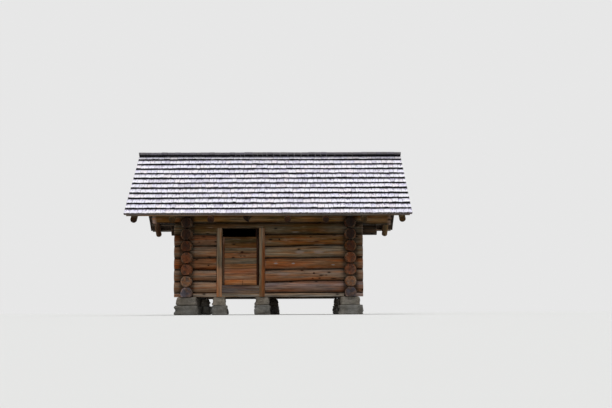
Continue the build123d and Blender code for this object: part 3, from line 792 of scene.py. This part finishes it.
def butt_flare(points):
    """Lets the front plate's right end, past the wall, swell and sag as a butt log does."""
    share = np.clip((points[..., 0] - WALL_END) / 0.10, 0, 1)
    axis = WALL_TOP + PLATE_RADIUS - PLATE_FLAT
    points[..., 2] += np.minimum(points[..., 2] - axis, 0.0) * 0.34 * share
    return points


# Tones, shades, painted sky light with weathering on the upper side, and painted shade on the right ends of the
# logs, from the sill up; the upper courses' low shades are partly painted shade under the eave
LONG_TONES = ["mauve", "rose", "rust", "grey", "honey", "olive"]
LONG_TONES_LEFT = ["rose", "rose", "amber", "dun", "amber", "olive"]
LONG_SHADES = [1.0, 1.0, 0.85, 0.95, 0.56, 0.60]
LONG_SKY_AND_WEATHER = [1.0, 1.0, 0.5, 0.25, 0.0, 0.0]
GABLE_TONES = [
    "violet", "mauve", "rust", "rose", "honey", "rust", "umber", "honey", "olive", "rust", "honey", "olive",
]
GABLE_SKY_AND_WEATHER = 0.35
PAINTED_END_SHADE = [0.95, 0.85, 0.85, 0.75, 0.62, 0.42]
# The ends' tones darken towards the top: partly painted shade under the roof
END_TONES = ["violet", "rose", "russet", "chestnut", "walnut", "black_brown", "black_brown"]
WALL_NODES = [name for name in CAD_NODES if "_log" in name or "_plate" in name]
LINES = {name: [log_line(name, *box) for box in islands(name)] for name in WALL_NODES}
ALL_LINES = [line for lines in LINES.values() for line in lines]
RIDGE_ENDS = np.array(islands("ridge_pole")[0])
RIDGE_ENDS[:, 1:] = [0, RIDGE_ENDS[:, 2].mean()]
RIDGE_LINE = Line(*RIDGE_ENDS, UP, RIDGE_POLE_RADIUS)


def at_level(values, line):
    """The value for a wall log's course, counted from the lowest one."""
    level = int(round((line.start[2] - SILL_TOP) / COURSE - (0.5 if line.wall < 2 else 0.0)))
    return values[level % len(values)]


def wall_tones(name, line, seed):
    """The colours of a wall log's side and ends, by its wall and its height."""
    if name == "front_plate":
        return tone("honey", seed) * np.array([0.80, 0.79, 0.66]), tone("blush", seed + 5)
    # The rear plate is painted almost black: painted shade, as it shows only deep under the roof
    if name == "rear_plate":
        return tone("bark", seed) * 0.13, tone("blush", seed + 5)
    if line.wall > 1:
        side = tone(at_level(GABLE_TONES, line), seed)
    else:
        side = tone(at_level(LONG_TONES_LEFT if "left" in name else LONG_TONES, line), seed)
        side = side * at_level(LONG_SHADES, line)
    return side, tone(at_level(END_TONES, line), seed + 5, 0.06)


def make_wall_logs():
    """Every level log of the walls and the gables, and the two plates."""
    for name in WALL_NODES:
        build = Build()
        plate = "plate" in name
        for index, line in enumerate(LINES[name]):
            seed = seed_of(name, index)
            side, end = wall_tones(name, line, seed)
            bare = tone("blush", seed)
            shapers, places = crossings(line, ALL_LINES)
            settings = {"seams": seam_waves(line), "tips": (0.012, 0.012, bare * 0.7)}
            if line.wall > 1:
                settings.update(snub=0.28, wash=GABLE_SKY_AND_WEATHER, tips=(0.10, 0.10, end * 1.05))
            elif not plate:
                settings["wash"] = at_level(LONG_SKY_AND_WEATHER, line)
            if line.below < 0.1:
                settings["snub"] = 0.05
            if name == "front_plate":
                settings["tips"] = (0.08, 0.035, bare)
                shapers.append(butt_flare)
            elif line.wall == 0 and "left" not in name:
                # the front logs' right ends, past the corner, get painted shade, deeper under the eave
                settings["damp"] = (0.25, at_level(PAINTED_END_SHADE, line))
            if "_gable_" in name:
                settings.update(bevel=0.002, snub=0.0, tips=None, ends=under_battens(line))
                if abs(line.start[2] - RIDGE_LINE.start[2]) < HALF_COURSE + RIDGE_POLE_RADIUS:
                    shapers.append(out_of(RIDGE_LINE, -UP))
                    places.append((line.length / 2, RIDGE_POLE_RADIUS + NOTCH_GAP))
            if name == "front_lintel_log":
                shapers.append(lintel_step)
                settings["hard"] = [edge - line.start[0] for edge in LINTEL_STEP[:2]]
            add_log(build, line, seed, side, end, places, shapers, **settings)
        wood = FRONT_SIDE if line.wall == 0 and not plate else LOG_SIDE
        build.finish(name, [wood, LOG_END], "roof_wood" if plate else "log_wood")


def slope_ways(side):
    """The directions out of a slope and down along it."""
    sine, cosine = math.sin(SLOPE), math.cos(SLOPE)
    return np.array([0.0, side * sine, cosine]), np.array([0.0, side * cosine, -sine])


def slope_point(side, x, s, depth):
    """A point on the front (-1) or rear (1) slope: s down from the ridge line, depth inwards."""
    y = s * np.cos(SLOPE) - depth * np.sin(SLOPE)
    z = RIDGE_Z - s * np.sin(SLOPE) - depth * np.cos(SLOPE)
    return stacked(x, side * y, z)


def plumb_ends(line):
    """Cuts a rafter upright at the ridge."""
    return lambda v: (-v * math.tan(SLOPE), line.length + 0 * v)


def crooked_tail(line):
    """Lets the end of a rafter's tail lean to the left."""

    def lean(t, u, v):
        share = np.clip((t - line.length + 0.30) / 0.25, 0, 1) ** 2
        return u * (1 - 0.50 * share) - (0.75 * v + 0.060) * share, v * (1 - 0.10 * share)

    return lean


RAFTER_TONES = ["bark", "olive", "umber", "umber", "umber", "umber", "olive", "olive"]
ROOF_POLE = {"rough": 0.0016, "joint_soil_and_shade": False}


def make_rafters():
    """The pole rafters, cut over the plates and the ridge pole, and the ridge pole."""
    for side, word in SLOPES:
        build = Build()
        poles = (LINES[word + "_plate"][0], RIDGE_LINE)
        out, down = slope_ways(side)
        for index, (low, high) in enumerate(sorted(islands(word + "_rafters"), key=lambda box: box[0][0])):
            x = (low[0] + high[0]) / 2
            start = np.array([x, 0, RIDGE_Z - RAFTER_AXIS_DEPTH / math.cos(SLOPE)])
            tail = start + down * RAFTER_TAIL_Y / math.cos(SLOPE)
            line = Line(start, tail, out, RAFTER_RADIUS, above=RAFTER_RADIUS - RAFTER_FLAT)
            seed = seed_of(word + "_rafter", index)
            crooked = side < 0 and abs(x - CROOKED_TAIL_X) < 0.01
            colour = tone("black_brown" if crooked else RAFTER_TONES[index], seed)
            add_log(
                build, line, seed, colour, colour * (0.45 if crooked else 0.55),
                [(float((pole.start - start) @ down), pole.radius + NOTCH_GAP) for pole in poles],
                [out_of(pole, out) for pole in poles], ends=plumb_ends(line),
                lean=crooked_tail(line) if crooked else None,
                bend=0.0025, taper=0.002, cracks=1, bevel=0.003, sides=28, step=0.07, **ROOF_POLE,
            )
        build.finish(word + "_rafters", [LOG_SIDE, LOG_END], "roof_wood")
    build = Build()
    add_log(build, RIDGE_LINE, 77, tone("umber", 77), tone("silver", 78), bend=0.003, sides=32, **ROOF_POLE)
    build.finish("ridge_pole", [LOG_SIDE, LOG_END], "roof_wood")


# Boards, posts and blocks

AXES = {
    "X": (np.array([1.0, 0, 0]), UP),
    "Y": (np.array([0, 1.0, 0]), UP),
    "Z": (UP, np.array([0, -1.0, 0])),
}


def board_ring(half_u, half_v, rounding, spacing):
    """The outline of a board's section, from corner to corner, with rounded corners."""
    ring = []
    corners = [np.array(corner) for corner in ((1, -1), (1, 1), (-1, 1), (-1, -1))]
    half = np.array([half_u, half_v]) - rounding
    for index, corner in enumerate(corners):
        first = math.atan2(corner[1], corner[0]) - math.pi / 4
        for part in range(3):
            a = first + part * math.pi / 4
            turn = rounding * np.array([math.cos(a), math.sin(a)])
            ring.append(corner * half + turn)
        start = ring[-1]
        end = corners[(index + 1) % 4] * half + turn
        count = int(np.linalg.norm(end - start) / spacing)
        ring.extend(start + (end - start) * part / count for part in range(1, count))
    return np.array(ring)


def box_line(low, high, axis):
    """The middle line of a box along an axis, and half its breadth and height beside it."""
    along, up = AXES[axis]
    middle = (low + high) / 2
    half = (high - low) / 2
    reach = float(along @ half)
    line = Line(middle - along * reach, middle + along * reach, up)
    return line, float(np.abs(line.across) @ half), float(np.abs(up) @ half)


def add_board(
    build, line, half_u, half_v, seed, tint, rounding=0.004, warp=0.002, step=0.12, spacing=0.03, rough=0.0,
    paint=None,
):
    """A sawn or hewn board round a line, its edges a little uneven and worn."""
    rng = np.random.default_rng(seed)
    ring = board_ring(half_u, half_v, rounding, spacing)
    inner = np.linspace(0, line.length, max(4, int(line.length / step)))[1:-1]
    lip = rounding * 0.7
    body = np.concatenate([[0.0, lip], inner, [line.length - lip, line.length]])
    rows, cols = len(body), len(ring)
    shrink = np.zeros((rows, 1))
    shrink[[0, -1]] = lip
    sides = [warp * (0.5 + 0.5 * wave(rows, 3, rng)) + shrink for _ in range(4)]
    share_u = (ring[None, :, 0] / half_u + 1) / 2
    share_v = (ring[None, :, 1] / half_v + 1) / 2
    u = -half_u + sides[0] + share_u * (2 * half_u - sides[0] - sides[1])
    v = -half_v + sides[2] + share_v * (2 * half_v - sides[2] - sides[3])
    if rough:
        dent = rough * (0.5 + 0.5 * smooth_noise(rows, cols, 2, 3, rng))
        u = u * (1 - dent / half_u)
        v = v * (1 - dent / half_v)
    t = np.broadcast_to(body[:, None], u.shape)
    points = line.at(t, u, v)
    shift = grain_shift(rng)
    run = np.concatenate([[0], np.cumsum(np.linalg.norm(np.diff(ring, axis=0), axis=1))])
    skin = stacked(t + seed * SKIN_STEP, run, 0)
    drift = smooth_noise(rows, cols, 2, 4, rng)[..., None]
    shade = tint * (1 + drift * np.array([0.12, 0.05, -0.05]))
    if paint is not None:
        way, first, over, more = paint
        shade = shade * (1 + np.clip((points[..., way] - first) / over, 0, 1)[..., None] * np.array(more))
    build.add(points, tube_faces(rows, cols), 0, True, stacked(t, u, v) + shift, skin, shade)
    pith = (rng.uniform(-0.6, 0.6) * half_u, -half_v - rng.uniform(0.02, 0.08))
    for row, face in tube_caps(rows, cols):
        rim = points[row]
        build.add(rim, [face], 1, False, *end_values(line, rim, rim.mean(0), shift, pith), tint * 0.8)


# The left post's foot is paler and redder, where its skin has gone, and the right post is orange-brown beside
# the wall: along which axis, from where, over what length, and what is added to each colour
POST_PAINTS = {
    "door_post_left": (2, 0.97, -0.08, (0.85, 0.35, 0.15)),
    "door_post_right": (0, -0.140, 0.022, (0.05, -0.36, -0.60)),
}


def make_boards():
    """Posts, threshold, sills, chocks, joists and floor."""
    for name, paint in POST_PAINTS.items():
        build = Build()
        add_board(
            build, *box_line(*islands(name)[0], "Z"), seed_of(name), tone("grey", 3) * 0.9, warp=0.004,
            rounding=0.009, step=0.05, spacing=0.018, rough=0.002, paint=paint,
        )
        build.finish(name, [POST_SIDE, LOG_END], "post_wood")
    for name, colour, axis, slot in (
        ("door_threshold", "dusk", "X", "post_wood"), ("front_sill", "silver", "X", "sill_wood"),
        ("rear_sill", "silver", "X", "sill_wood"), ("corner_chocks", "blush", "X", "sill_wood"),
        ("floor_joists", "umber", "Y", "floor_wood"), ("floor_planks", "rose", "X", "floor_wood"),
    ):
        build = Build()
        for index, (low, high) in enumerate(islands(name)):
            seed = seed_of(name, index)
            if name == "corner_chocks":
                inner = low if low[0] > 0 else high
                inner[0] -= math.copysign(CHOCK_REACH, low[0])
            add_board(
                build, *box_line(low, high, axis), seed, tone(colour, seed, 0.10), rounding=0.005, step=0.15,
            )
        build.finish(name, [BOARD_SIDE, LOG_END], slot)


def make_battens():
    """The battens under the shingles."""
    for side, word in SLOPES:
        build = Build()
        out, _ = slope_ways(side)
        for index, (low, high) in enumerate(islands(word + "_battens")):
            middle = (low + high) / 2
            line = Line((low[0], *middle[1:]), (high[0], *middle[1:]), out)
            seed = seed_of(word + "_batten", index)
            colour = tone("silver" if index % 3 else "umber", seed, 0.12) * 0.32 if index else tone("eave", seed)
            add_board(build, line, *BATTEN_HALVES, seed, colour, rounding=0.003, warp=0.0022, step=0.15)
        build.finish(word + "_battens", [BOARD_SIDE, LOG_END], "roof_wood")


# Shingles

TOP, BUTT, EAVE, UNDER = range(4)  # where each lies among the shingles' materials
SHINGLE_TONES = ["shingle"] * 12 + ["shingle_warm"] * 4 + ["shingle_blue"] * 5 + ["shingle_dark"] * 2
SHINGLE_WIDTHS = (0.075, 0.165)
SHINGLE_SHARP = 30
STARTER_WIDTHS = (0.07, 0.14)
STARTERS = ((0.40, 0.0185, 0.0150, 0.030), (0.30, 0.0345, 0.0145, 0.002))  # length, depth, thickness, sink
RIDGE_WIDTHS = (0.09, 0.19)
EDGE_DROP = 0.0012  # how far the edges of a shingle are worn down
TOP_LIGHT = 1.12  # how much paler the highest course is painted: painted light against the ridge boards' shade


def roof_widths(rng, widths, least):
    """The left and right edges of one course's shingles, none narrower than the least."""
    x = -ROOF_HALF
    while x < ROOF_HALF - 0.02:
        right = min(ROOF_HALF, x + rng.uniform(*widths))
        if ROOF_HALF - right < least:
            right = ROOF_HALF
        yield x, right
        x = right


def add_shingle(build, side, x_from, x_to, butt, tip, deep, thick, sink, rng, tint, butt_slot):
    """One split shingle, thick at its lower end, a little cupped, lying in its slope."""
    across = np.linspace(0, 1, 4)
    length = butt - tip
    share = np.array([0.0, 0.03, 0.5, 1.0] if length > 0.1 else [0.0, 0.05, 1.0])[:, None]
    tilt = rng.uniform(-0.0020, 0.0020)
    skew = rng.uniform(-0.004, 0.004)
    curl = rng.uniform(-0.0006, 0.0016)
    sway = rng.uniform(-0.0025, 0.0025)
    edge = np.array([EDGE_DROP, 0, 0, EDGE_DROP])
    back = share * length
    x = x_from + (x_to - x_from) * across + sway * share
    s = butt + skew * (across - 0.5) - back
    depth = deep + sink * back + tilt * (across - 0.5) + curl * (1 - (2 * across - 1) ** 2) * (1 - share) + edge
    s[0] -= 0.002
    depth[0] += 0.0022
    under = np.maximum(depth + 0.001, deep + sink * back + thick * (1 - 0.72 * share))
    x = np.clip(x, -ROOF_HALF, ROOF_HALF)
    depth = np.stack([depth, under])
    s = np.maximum(s, np.abs(depth) * math.tan(SLOPE) + 0.001)
    points = slope_point(side, x, s, depth)
    grain = stacked(butt - s, x - x_from, depth) + grain_shift(rng)
    butt_and_edge_distances = stacked(butt - s, np.minimum(x - x_from, x_to - x), 0)
    for faces, slot in zip(slab_faces(*x.shape), (TOP, UNDER, butt_slot)):
        build.add(points, flipped(faces) if side > 0 else faces, slot, False, grain, butt_and_edge_distances, tint)


def add_course(build, side, butt, length, deep, thick, sink, rng, uneven, butt_slot, widths, light=1.0):
    """One course of shingles from verge to verge."""
    phase = rng.uniform(0, 6)
    for x, right in roof_widths(rng, widths, 0.05):
        gap = rng.uniform(0.0006, 0.0020)
        stray = float(np.clip(rng.normal(0, 0.45), -1, 1)) * uneven + 0.007 * math.sin(x * 1.4 + phase)
        lower = butt + min(stray, 0.006) if butt_slot == BUTT else butt - 0.003 - abs(stray) * 0.6
        name = SHINGLE_TONES[int(rng.integers(0, len(SHINGLE_TONES)))]
        colour = np.array(linear(TONES[name])) * rng.uniform(0.93, 1.03) * light
        add_shingle(
            build, side, x + gap, right - gap, lower, max(lower - length, 0.012), deep + rng.uniform(0, 0.0016),
            thick * rng.uniform(0.88, 1.0), sink, rng, colour * min(1.0, 0.97 / colour.max()), butt_slot,
        )


def add_ridge_board(build, x_from, x_to, rng):
    """One board of the ridge course: it lies on the rear slope and stands up past the ridge."""
    out = -RIDGE_OUT + rng.uniform(0, 0.009)
    down = RIDGE_DOWN - rng.uniform(0, 0.012)
    thick = RIDGE_THICK - rng.uniform(0, 0.003)
    tilt = rng.uniform(0, 0.0025)
    places = [out, out + 0.045, out + 0.062, -0.010, 0.05, 0.17, down]
    s, across = np.meshgrid(places, np.linspace(0, 1, 4), indexing="ij")
    edge = np.where((across < 0.01) | (across > 0.99), EDGE_DROP, 0.0)
    top = -thick + edge + tilt * across
    x = x_from + (x_to - x_from) * across
    end = np.zeros_like(s)
    end[0] = 0.0015
    end[-1] = -0.0015
    depth = np.stack([top, 0 * top])
    points = slope_point(1, x, np.stack([s + end, s]), depth)
    beside = x - x_from
    grain = stacked(s, beside, depth) + grain_shift(rng)
    butt_and_edge_distances = stacked(0.1, np.minimum(beside, x_to - x_from - beside), 0 * depth)
    colour = np.array(linear(TONES["ridge"])) * rng.uniform(0.85, 1.12)
    colour = colour * np.array([1, 1, rng.uniform(0.92, 1.08)])
    # The board's underside is painted paler near its outer end, as light thrown up from the roof, and black
    # towards the crease, as painted shade
    damp = np.stack([1 + 0 * s, np.interp(s, [*places[:3], 0.02], [1.35, 1.15, 0.05, 0.02])])[..., None]
    build.add(points, sum(slab_faces(*s.shape), []), 0, False, grain, butt_and_edge_distances, colour * damp)


def make_shingles():
    """Both slopes shingle by shingle, and the course that stands up past the ridge."""
    for side, word in SLOPES:
        rng = np.random.default_rng(31 + side)
        build = Build()
        for course in range(COURSES):
            butt = EAVE_S - course * EXPOSURE
            add_course(
                build, side, butt, min(SHINGLE_LENGTH, butt), 0.0012, SHINGLE_THICK, SHINGLE_SINK, rng, 0.010,
                BUTT if course else EAVE, SHINGLE_WIDTHS, TOP_LIGHT if course == COURSES - 1 else 1.0,
            )
        for starter in STARTERS:
            add_course(build, side, EAVE_S - STARTER_SETBACK + 0.003, *starter, rng, 0.006, EAVE, STARTER_WIDTHS)
        build.finish(word + "_shingles", SHINGLE_WOODS, "shingle", sharp=SHINGLE_SHARP)
    rng = np.random.default_rng(57)
    build = Build()
    for x, right in roof_widths(rng, RIDGE_WIDTHS, 0.06):
        add_ridge_board(build, x + 0.001, right - 0.001, rng)
    build.finish("ridge_shingles", [RIDGE_WOOD], "shingle", sharp=SHINGLE_SHARP)


# Stones

STONE_SIDES = 56
STONE_SHARES = np.array([0, 0.03, 0.08, *np.linspace(0.15, 0.85, 9), 0.92, 0.97, 1.0])  # of its height


def make_stones():
    """The piers: rough stones with flat beds."""
    rows, cols = len(STONE_SHARES), STONE_SIDES
    shoulder = np.interp(STONE_SHARES, [0, 0.03, 0.08, 0.92, 0.97, 1], [0.028, 0.011, 0, 0, 0.011, 0.028])
    angle = -math.pi / 2 + np.arange(cols) / cols * 2 * math.pi
    for name, colour in (("pier_base_stones", "stone"), ("pier_cap_stones", "stone_warm")):
        build = Build()
        for index, (low, high) in enumerate(islands(name)):
            seed = seed_of(name, index)
            rng = np.random.default_rng(seed)
            line, half_x, half_y = box_line(low, high, "Z")
            box = (np.abs(np.cos(angle) / half_x) ** 5 + np.abs(np.sin(angle) / half_y) ** 5) ** -0.2
            facets = smooth_noise(rows, cols, 5, 7, rng) * 0.022
            facets += smooth_noise(rows, cols, 2, 3, rng) * 0.008
            r = box[None, :] * 0.985 - 0.024 + facets - shoulder[:, None] - 0.012 * STONE_SHARES[:, None]
            t = np.broadcast_to((STONE_SHARES * (high[2] - low[2]))[:, None], r.shape)
            points = line.at(t, r * np.cos(angle), r * np.sin(angle))
            shift = grain_shift(rng)
            tint = tone(colour, seed, 0.08)
            build.add(points, tube_faces(rows, cols), 0, True, points + shift, points + shift, tint)
            for row, face in tube_caps(rows, cols):
                rim = points[row]
                build.add(rim, [face], 0, False, rim + shift, rim + shift, tint)
        build.finish(name, [STONE], "stone", sharp=50)


# The door leaf

PLANK_TONES = ["rust", "rose", "peach", "rust", "grey", "rust", "grey", "honey", "olive"]
# How light or dark each plank is, from the lowest up: painted light from the ground low down and painted shade
# under the eave higher up, over each plank's tone
PLANK_SHADES = [1.75, 1.22, 1.02, 1.05, 0.62, 0.85, 0.56, 0.42, 0.45]
PLANK_SEED = 300
DOOR_BATTEN_SEED = 330


def make_door():
    """The leaf: planks, closing stile, turning stave and back batten."""
    build = Build()
    for index, (low, high) in enumerate(islands("door_planks")):
        low[1] += 0.0015 * (index % 3)
        seed = PLANK_SEED + index
        add_board(
            build, *box_line(low, high, "X"), seed, tone(PLANK_TONES[index], seed) * PLANK_SHADES[index],
            rounding=0.003, warp=0.0016, step=0.07, spacing=0.02, rough=0.0008,
        )
    build.finish("door_planks", [PLANK_SIDE, LOG_END], "door_wood", "door")
    build = Build()
    batten = box_line(*islands("door_batten")[0], "Z")
    add_board(build, *batten, DOOR_BATTEN_SEED, tone("rust", DOOR_BATTEN_SEED), step=0.09)
    build.finish("door_batten", [PLANK_SIDE, LOG_END], "door_wood", "door")
    for name in ("door_turning_stave", "door_closing_stile"):
        for slot in CAD_NODES[name].material_slots:
            slot.material = STAVE_WOOD


# Stage, light and camera

def make_stage():
    """A pale floor, which keeps the object's shadow."""
    mesh = bpy.data.meshes.new("floor")
    corners = [(x * FLOOR_REACH, y * FLOOR_REACH, 0) for x, y in ((-1, -1), (1, -1), (1, 1), (-1, 1))]
    mesh.from_pydata(corners, [], [[0, 1, 2, 3]])
    n = Nodes(bpy.data.materials.new("floor"))
    mesh.materials.append(n.finish(n.mix(n.seen(), FLOOR, FLOOR_SEEN), 0.95, 0.1))
    placed("floor", mesh)


def make_light():
    """A soft overhead key and an even sky."""
    world = bpy.data.worlds.new("sky")
    bpy.context.scene.world = world
    n = Nodes(world)
    light = n.tree.nodes["Background"]
    n.feed(light, SKY)
    shown = n.node("Background", SKY_SEEN)
    sky = n.node("MixShader", {0: n.seen(), 1: light.outputs[0], 2: shown.outputs[0]})
    n.feed(n.tree.nodes["World Output"], {"Surface": sky.outputs[0]})
    key = bpy.data.lights.new("key", "SUN")
    key.energy = KEY_STRENGTH
    key.angle = math.radians(KEY_SPREAD)
    key.color = KEY_COLOUR
    placed("key", key).rotation_euler = [math.radians(a) for a in KEY_LEAN]


def make_camera():
    """The camera at the photograph's point of view."""
    data = bpy.data.cameras.new("camera")
    data.sensor_width = SENSOR_WIDTH
    data.lens = CAMERA_FOCAL * SENSOR_WIDTH / PICTURE_WIDTH
    data.clip_end = 2000.0
    place = mathutils.Matrix.Translation(CAMERA_PLACE)
    for angle, axis in ((-CAMERA_YAW, "Z"), (90 + CAMERA_PITCH, "X"), (CAMERA_ROLL, "Z")):
        place = place @ mathutils.Matrix.Rotation(math.radians(angle), 4, axis)
    camera = placed("camera", data)
    camera.matrix_world = place
    bpy.context.scene.camera = camera


for make in (
    make_camera, make_wall_logs, make_rafters, make_boards, make_battens, make_shingles, make_stones, make_door,
    make_stage, make_light,
):
    make()
bpy.context.scene.view_settings.view_transform = "Standard"
